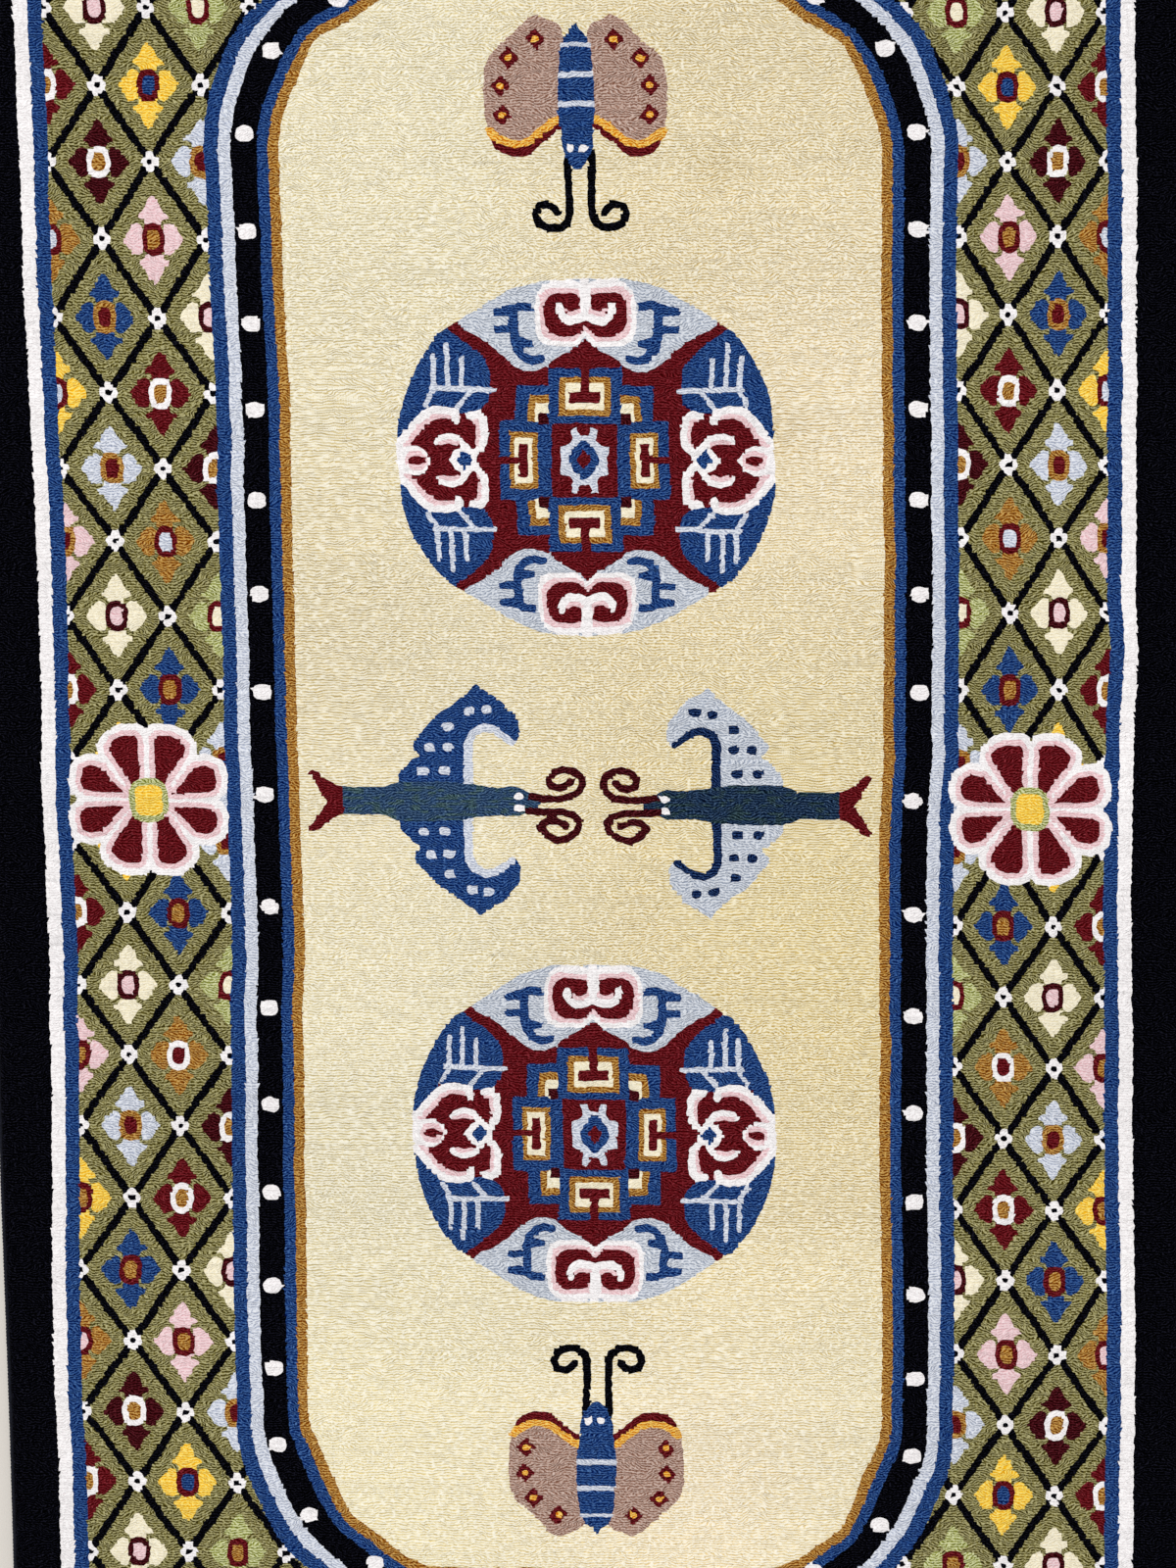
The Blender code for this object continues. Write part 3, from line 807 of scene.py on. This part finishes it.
def grid_mesh(name, x, y, z, normals=None):
    """A mesh of one quad for each cell of a grid of points, given in millimetres."""
    points = np.stack([x, y, z], -1).reshape(-1, 3) * MM
    mesh = bpy.data.meshes.new(name)
    mesh.from_pydata(points.tolist(), [], grid_quads(*x.shape).tolist())
    mesh.shade_smooth()
    if normals is not None:
        mesh.normals_split_custom_set_from_vertices(normals.reshape(-1, 3).tolist())
    return mesh


# rows and columns of a cell's corners, in the order of its quad
CELL_ROWS, CELL_COLUMNS = np.array([0, 0, 1, 1]), np.array([0, 1, 1, 0])


def set_bake_map(mesh, places):
    layer = mesh.uv_layers.new(name="OFBake")
    layer.uv.foreach_set("vector", places.astype(np.float32).ravel())


def add_bake_map(mesh, rows, columns, folds):
    """A flat map of the grid for baking, its long side folded into segments side by side."""
    cell_row, cell_column = np.divmod(np.arange((rows - 1) * (columns - 1)), columns - 1)
    per_fold = math.ceil((rows - 1) / folds)
    fold = cell_row // per_fold
    gap = 3
    width = folds * (columns - 1 + gap)
    u = (fold * (columns - 1 + gap) + 1 + cell_column)[:, None] + CELL_COLUMNS
    v = (cell_row - fold * per_fold + 1)[:, None] + CELL_ROWS
    set_bake_map(mesh, np.stack([u, v], -1) / max(width, per_fold + 2))


def placed(name, data):
    """A new object in the scene."""
    thing = bpy.data.objects.new(name, data)
    bpy.context.scene.collection.objects.link(thing)
    return thing


def new_piece(name, mesh, material, node):
    piece = placed(name, mesh)
    mesh.materials.append(material)
    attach(piece, "root")
    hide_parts(node)
    return piece


# Yarn colours
def linear(colour):
    """A screen colour, 0 to 255, as linear light."""
    c = np.asarray(colour, float) / 255
    return np.where(c <= 0.04045, c / 12.92, ((c + 0.055) / 1.055) ** 2.4)


# where the field begins to be lighter or warmer, and over what distance; how much less warm the light is
LIGHTER, WARMER, NOT_WARM = (250, 120), (-75, 110), 0.8
# how much lighter or darker a knot, a band of rows and a broad place can be
KNOT_SHADE, BAND_SHADE, CLOUD_SHADE = 0.04, 0.03, 0.03


def tinted(colour, share, tint):
    return colour * (1 + share * (np.array(tint) - 1))


def face_colours(x, y, yarn):
    """Each face's yarn colour, a little different from knot to knot and over the rug."""
    mid_x = (x[:-1, :-1] + x[1:, 1:]) / 2
    mid_y = (y[:-1, :-1] + y[1:, 1:]) / 2
    base = np.array([linear(colour) for colour, _ in YARN_LOOKS.values()])[yarn]
    # how strongly each yarn shows the pile's painted crease shade and strand highlights, kept as the alpha
    # of the face colour
    painted_shading_strength = np.array([depth for _, depth in YARN_LOOKS.values()])[yarn]
    knots = smooth_noise(yarn.shape, (2, 2))
    bands = smooth_noise(yarn.shape, (14, 260))
    cloud = smooth_noise(yarn.shape, (60, 70))
    shade = 1 + KNOT_SHADE * knots + BAND_SHADE * bands + CLOUD_SHADE * cloud
    colour = base * shade[..., None]
    # the birds' bodies are worked with a few strands of another yarn
    strands = grown(smooth_noise(yarn.shape, (1, 3)), 0.1, 0.5)
    strands = strands * ((yarn == YARN["teal"]) | (yarn == YARN["deep"]))
    colour = tinted(colour, strands[..., None], FLECK)
    field = (yarn == YARN["cream"])[..., None]
    # the field is warmer from its middle to the right, and lighter at its near end
    light = grown(-mid_y, *LIGHTER)[..., None]
    warmth = grown(mid_x, *WARMER)[..., None] * (1 - NOT_WARM * light)
    colour = np.where(field, tinted(tinted(colour, warmth, WARM), light, LIGHT), colour)
    for centre, reach, tint in FIELD_TINTS:
        near = np.exp(-((mid_x - centre[0]) ** 2 + (mid_y - centre[1]) ** 2) / (2 * reach ** 2))[..., None]
        colour = np.where(field, tinted(colour, near, tint), colour)
    return np.concatenate([colour, painted_shading_strength[..., None]], -1)


# Materials
class Nodes:
    """Short names for building a material's node tree."""

    def __init__(self, name):
        self.material = bpy.data.materials.new(name)
        self.material.use_nodes = True
        self.tree = self.material.node_tree
        self.shader = self.tree.nodes["Principled BSDF"]

    def add(self, kind, settings=None, **inputs):
        node = self.tree.nodes.new(kind)
        for key, value in (settings or {}).items():
            setattr(node, key, value)
        for key, value in inputs.items():
            self.put(node.inputs[key.replace("_", " ")], value)
        return node

    def put(self, socket, value):
        if isinstance(value, bpy.types.NodeSocket):
            self.tree.links.new(value, socket)
        else:
            socket.default_value = value

    def step(self, kind, operation, *values):
        """A node that takes these values in turn, and what comes out of it."""
        node = self.tree.nodes.new(kind)
        if operation:
            node.operation = operation
        for place, value in enumerate(values):
            self.put(node.inputs[place], value)
        return node.outputs[0]

    def math(self, operation, *values):
        return self.step("ShaderNodeMath", operation, *values)

    def vector(self, operation, *values):
        return self.step("ShaderNodeVectorMath", operation, *values)

    def mapped(self, value, low, high, to_low=0, to_high=1):
        return self.step("ShaderNodeMapRange", None, value, low, high, to_low, to_high)

    def ramp(self, place, low, high):
        """Colours between two stops, each of a place and a screen colour."""
        colour = self.add("ShaderNodeValToRGB", Fac=place)
        for stop, (position, shade) in zip(colour.color_ramp.elements, (low, high)):
            stop.position, stop.color = position, (*linear(shade), 1)
        return colour.outputs[0]

    def finish(self, colour, height, strength, distance, roughness):
        """The material, with this colour, roughness and relief."""
        bump = self.add("ShaderNodeBump", Height=height, Strength=strength, Distance=distance)
        for socket, value in (("Base Color", colour), ("Normal", bump.outputs[0]), ("Roughness", roughness)):
            self.put(self.shader.inputs[socket], value)
        return self.material

    def noise(self, place, reach, detail=0):
        """Random values about a half, drawn out to so many metres each way."""
        stretched = self.vector("MULTIPLY", place, (1 / reach[0], 1 / reach[1], 1))
        return self.add("ShaderNodeTexNoise", {"noise_dimensions": "2D"}, Vector=stretched, Scale=1,
                        Detail=detail).outputs[0]

    def shift(self, place, reach, depth):
        """A random distance either way, at most about a fifth of the depth."""
        return self.math("MULTIPLY", self.math("SUBTRACT", self.noise(place, reach), 0.5), depth)


# width of a tuft, in metres
TUFT = 0.0036


def pile_material():
    """Knotted wool pile: rows of knots whose strands sway, with creases between them; painted shade darkens
    the creases and painted highlights lighten the strands, partly also the yarn's own mottling, and the same
    pattern gives the bump relief.
    """
    nodes = Nodes("wool_pile_yarn")
    place = nodes.add("ShaderNodeTexCoord").outputs["Object"]
    yarn = nodes.add("ShaderNodeAttribute", {"attribute_type": "GEOMETRY", "attribute_name": "yarn"})
    parts = nodes.add("ShaderNodeSeparateXYZ", Vector=place)
    tangled = nodes.add("ShaderNodeAttribute", {"attribute_type": "GEOMETRY", "attribute_name": "tangle"})
    tangle = tangled.outputs["Fac"]
    along = nodes.math("MULTIPLY_ADD", parts.outputs["X"], ROW_SLOPE, parts.outputs["Y"])
    along = nodes.math("ADD", along, nodes.shift(place, (0.014, 0.011), 0.0018))
    other = nodes.vector("ADD", place, (3.7, 1.9, 0))
    along = nodes.math("ADD", along, nodes.shift(other, (0.0045, 0.005), 0.0011))
    other = nodes.vector("ADD", place, (1.3, 5.2, 0))
    # tufts side by side lean one way or the other, most where the yarns are tangled
    tuft = nodes.math("ADD", parts.outputs["X"], nodes.shift(other, (0.03, 0.0024), 0.004))
    tuft = nodes.math("SUBTRACT", nodes.math("FRACT", nodes.math("MULTIPLY", tuft, 1 / TUFT)), 0.5)
    lean = nodes.shift(other, (0.012, 0.01), 2.3 * TUFT)
    along = nodes.math("MULTIPLY_ADD", nodes.math("MULTIPLY", tuft, lean), tangle, along)
    half_rows = nodes.math("SUBTRACT", along, FIRST_CREST * MM)
    half_rows = nodes.math("MULTIPLY", half_rows, 2 / (ROW_PITCH_MM * MM))
    near = nodes.math("PINGPONG", nodes.math("ADD", half_rows, 0.5), 0.5)
    line = nodes.mapped(near, 0.1, 0.5)
    swing = nodes.math("MULTIPLY_ADD", tangle, 0.1, -0.14)
    wave = nodes.math("COSINE", nodes.math("MULTIPLY", half_rows, math.pi))
    between = nodes.math("MULTIPLY_ADD", wave, swing, 0.76)
    crossing = nodes.math("MULTIPLY", parts.outputs["X"], nodes.math("MULTIPLY_ADD", tangle, 0.9, 1))
    stretched = nodes.add("ShaderNodeCombineXYZ", X=crossing, Y=along).outputs[0]
    broken = nodes.mapped(nodes.noise(stretched, (0.0042, 0.0017)), 0.12, 0.52)
    crease = nodes.math("MULTIPLY", nodes.math("MULTIPLY", line, between), broken)
    fibre = nodes.noise(stretched, (0.0024, 0.00055), 1)
    strands = nodes.math("SUBTRACT", fibre, 0.5)
    # painted shade in the creases and painted highlight on the strands, partly the yarn's own mottling: it
    # darkens or lightens the colour below, and turned over it is the bump's height
    painted_shading_and_relief = nodes.math("MULTIPLY_ADD", strands, -1.7, nodes.math("MULTIPLY", crease, 1.95))
    # painted shade and highlight: the yarn's colour is darkened in the creases and lightened on the strands,
    # as strongly as the yarn's alpha says
    depth = nodes.math("MULTIPLY_ADD", nodes.math("SUBTRACT", painted_shading_and_relief, 0.3), yarn.outputs["Alpha"], 1)
    depth = nodes.math("MAXIMUM", depth, 0.62)
    colour = nodes.add("ShaderNodeGamma", Color=yarn.outputs["Color"], Gamma=depth).outputs[0]
    nodes.shader.inputs["Specular IOR Level"].default_value = 0.01
    height = nodes.math("SUBTRACT", 1, painted_shading_and_relief)
    return nodes.finish(colour, height, 1, 0.00022, nodes.mapped(fibre, 0.3, 0.7, 0.82, 0.96))


def cord_material():
    nodes = Nodes("cord_wool_yarn")
    position = nodes.add("ShaderNodeTexCoord").outputs["Object"]
    position = nodes.vector("MULTIPLY", position, (900, 2200, 900))
    noise = nodes.add("ShaderNodeTexNoise", Vector=position, Scale=1, Detail=2).outputs[0]
    colour = nodes.ramp(noise, (0.3, (8, 9, 14)), (0.75, (34, 36, 48)))
    nodes.shader.inputs["Specular IOR Level"].default_value = 0.06
    nodes.shader.inputs["Sheen Weight"].default_value = 0.05
    return nodes.finish(colour, noise, 0.8, 0.0004, nodes.mapped(noise, 0.3, 0.7, 0.78, 0.95))


def base_material():
    nodes = Nodes("cotton_foundation")
    position = nodes.add("ShaderNodeTexCoord").outputs["Object"]
    pitch = 2 * math.pi / (KNOT * MM)
    parts = nodes.add("ShaderNodeSeparateXYZ", Vector=position)
    weft = nodes.math("SINE", nodes.math("MULTIPLY", parts.outputs["Y"], pitch))
    warp = nodes.math("SINE", nodes.math("MULTIPLY", parts.outputs["X"], pitch))
    weave = nodes.math("MULTIPLY", weft, warp)
    noise = nodes.add("ShaderNodeTexNoise", Vector=position, Scale=900, Detail=3).outputs[0]
    shade = nodes.math("ADD", nodes.math("MULTIPLY", weave, 0.25), noise)
    colour = nodes.ramp(shade, (0.2, (150, 136, 108)), (0.8, (214, 202, 172)))
    return nodes.finish(colour, shade, 0.8, 0.0006, nodes.mapped(noise, 0.3, 0.7, 0.85, 0.97))


# Pieces
# how tangled the field's strands are, how much more so at its far end, and by how much this varies
LOOSE, LOOSER, UNEVEN = 0.4, 0.3, 0.35


def add_pile(material):
    sampler = Sampler()
    x, y, z, yarn = build_pile_grid(sampler)
    normals = grid_normals(x, y, z)
    colours = face_colours(x, y, yarn)
    # the field's rows run straight in some places, and its strands lean this way and that in others
    loose = LOOSE + LOOSER * grown(y[:-1, :-1], 180, 200) + UNEVEN * smooth_noise(yarn.shape, (30, 40))
    tangle = np.where(yarn == YARN["cream"], loose, 1)
    cuts = np.linspace(0, x.shape[1] - 1, STRIPS + 1).round().astype(int)
    pieces = []
    for strip, (low, high) in enumerate(zip(cuts, cuts[1:])):
        part = (slice(None), slice(low, high + 1))
        mesh = grid_mesh(f"pile_{strip + 1}", x[part], y[part], z[part], normals[part])
        for name, kind, field, values in (
                ("yarn", "FLOAT_COLOR", "color", colours), ("tangle", "FLOAT", "value", tangle)):
            attribute = mesh.attributes.new(name, kind, "FACE")
            attribute.data.foreach_set(field, values[:, low:high].astype(np.float32).ravel())
        add_bake_map(mesh, x.shape[0], high - low + 1, 3)
        pieces.append(new_piece(f"pile_{strip + 1}", mesh, material, "rug"))
    return pieces


def add_base(material):
    """The knotted cotton foundation under the pile: a thin closed sheet with the rug's outline."""
    step = 10
    across = np.linspace(-PILE_WIDTH / 2 + 0.4, PILE_WIDTH / 2 - 0.4, int(PILE_WIDTH / step) + 1)
    along = np.linspace(-RUG_LENGTH / 2 + 0.2, RUG_LENGTH / 2 - 0.2, int(RUG_LENGTH / step) + 1)
    a, b = np.meshgrid(across, along)
    x, y = to_edges(a, b)
    rows, columns = x.shape
    count = rows * columns
    place = np.arange(count).reshape(rows, columns)
    top = grid_quads(rows, columns)
    under = top[:, ::-1] + count
    ring = np.concatenate([place[0, :-1], place[:-1, -1], place[-1, :0:-1], place[:0:-1, 0]])
    after = np.roll(ring, -1)
    wall = np.stack([ring + count, after + count, after, ring], -1)
    quads = np.concatenate([top, under, wall])
    points = np.concatenate([np.stack([x, y, np.full_like(x, BASE_TOP)], -1).reshape(-1, 3),
                             np.stack([x, y, np.zeros_like(x)], -1).reshape(-1, 3)]) * MM
    mesh = bpy.data.meshes.new("foundation")
    mesh.from_pydata(points.tolist(), [], quads.tolist())
    mesh.update()
    # flat map: underside and top side by side, the wall as a thin row above them
    uv = np.zeros((len(quads), 4, 2))
    cell_row, cell_column = np.divmod(np.arange(len(top)), columns - 1)
    scale = 1 / (rows + 12)
    uv[:len(top), :, 0] = (cell_column[:, None] + CELL_COLUMNS + 1) * scale
    uv[:len(top), :, 1] = (cell_row[:, None] + CELL_ROWS + 1) * scale
    uv[len(top):2 * len(top)] = uv[:len(top)][:, ::-1] + (np.array([columns + 1, 0]) * scale)
    walls = np.arange(len(wall))
    uv[2 * len(top):, :, 0] = ((walls % rows)[:, None] + CELL_COLUMNS) * (0.9 * scale) + scale
    uv[2 * len(top):, :, 1] = (rows + 1 + (walls // rows)[:, None] * 2 + CELL_ROWS) * scale
    set_bake_map(mesh, uv)
    return new_piece("foundation", mesh, material, "rug")


def add_cord(side, material):
    """An overcast side cord: close turns of yarn wound round a core, down one long side."""
    sign = -1 if side == "left" else 1
    # length of a turn, and how many points it has along the cord and round it
    turn, per_turn, around = 2.3, 3, 12
    length = RUG_LENGTH - 2 * CORD_SHORT
    count = int(length / turn * per_turn)
    along = np.linspace(-length / 2, length / 2, count + 1)[:, None]
    angle = np.linspace(0, 2 * math.pi, around + 1)[None, :]
    wound = np.cos(2 * math.pi * along / turn - angle)
    swell = 0.22 * wound + 0.1 * smooth_noise((count + 1, around + 1), (3, 3))
    swell[:, -1] = swell[:, 0]
    # the cord is a little square, and rounds off at both ends
    cap = 0.25 + 0.75 * grown(length / 2 - np.abs(along), 0, 2.5) ** 0.5
    squareness = 0.82
    half_width, half_height = CORD_WIDTH / 2 - 0.2, CORD_HEIGHT / 2 - 0.32
    cos, sin = np.cos(angle), np.sin(angle)
    x = np.sign(cos) * np.abs(cos) ** squareness * (half_width + swell) * cap
    z = np.sign(sin) * np.abs(sin) ** squareness * (half_height + swell) * cap
    middle = sign * ((RUG_WIDTH - CORD_WIDTH) / 2 - edge_inset(side, along))
    x = middle + x
    y = np.broadcast_to(along, x.shape) + 0.25 * np.cos(angle)
    z = CORD_HEIGHT / 2 + z
    mesh = grid_mesh(f"overcast_{side}", x[:, ::-1], y[:, ::-1], z[:, ::-1])
    add_bake_map(mesh, count + 1, around + 1, 12)
    return new_piece(f"overcast_{side}", mesh, material, f"selvedge_{side}")


# Room
FLOOR = 6


def add_floor():
    mesh = bpy.data.meshes.new("floor")
    corners = [(-FLOOR, -FLOOR, 0), (FLOOR, -FLOOR, 0), (FLOOR, FLOOR, 0), (-FLOOR, FLOOR, 0)]
    mesh.from_pydata(corners, [], [(0, 1, 2, 3)])
    floor = placed("floor", mesh)
    nodes = Nodes("floor_plain")
    nodes.shader.inputs["Base Color"].default_value = (*linear((214, 208, 200)), 1)
    nodes.shader.inputs["Roughness"].default_value = 0.8
    mesh.materials.append(nodes.material)


def add_light(name, place, size, power):
    data = bpy.data.lights.new(name, "AREA")
    data.shape = "SQUARE"
    data.size = size
    data.energy = power
    light = placed(name, data)
    light.location = place
    light.rotation_euler = Vector(place).to_track_quat("Z", "Y").to_euler()


# radians about each axis, and metres
CAMERA_TURNS = (-0.0373608, 0.0115726, -0.0127411)
CAMERA_PLACE = (0.012487, 0.0396304, 0.7528)
FOCAL_PIXELS, PHOTO_HEIGHT = 1204, 1600


def add_camera():
    data = bpy.data.cameras.new("camera")
    data.sensor_fit = "VERTICAL"
    data.sensor_height = 32
    data.lens = data.sensor_height * FOCAL_PIXELS / PHOTO_HEIGHT
    data.clip_start = 0.01
    camera = placed("camera", data)
    turns = [Matrix.Rotation(angle, 4, axis) for angle, axis in zip(CAMERA_TURNS, "XYZ")]
    camera.matrix_world = Matrix.Translation(CAMERA_PLACE) @ turns[2] @ turns[1] @ turns[0]
    bpy.context.scene.camera = camera


def set_world():
    world = bpy.data.worlds.new("studio")
    world.use_nodes = True
    background = world.node_tree.nodes["Background"]
    background.inputs["Color"].default_value = (1, 1, 1, 1)
    background.inputs["Strength"].default_value = 0.55
    bpy.context.scene.world = world


def main():
    pile = add_pile(pile_material())
    base = add_base(base_material())
    cord = cord_material()
    for side in ("left", "right"):
        add_cord(side, cord)
    add_floor()
    add_light("key", (-4, 3.4, 6.5), 2.6, 425)
    add_light("fill", (1.8, -1, 2.4), 2, 14)
    set_world()
    add_camera()
    bpy.context.scene.view_settings.view_transform = "Standard"


main()
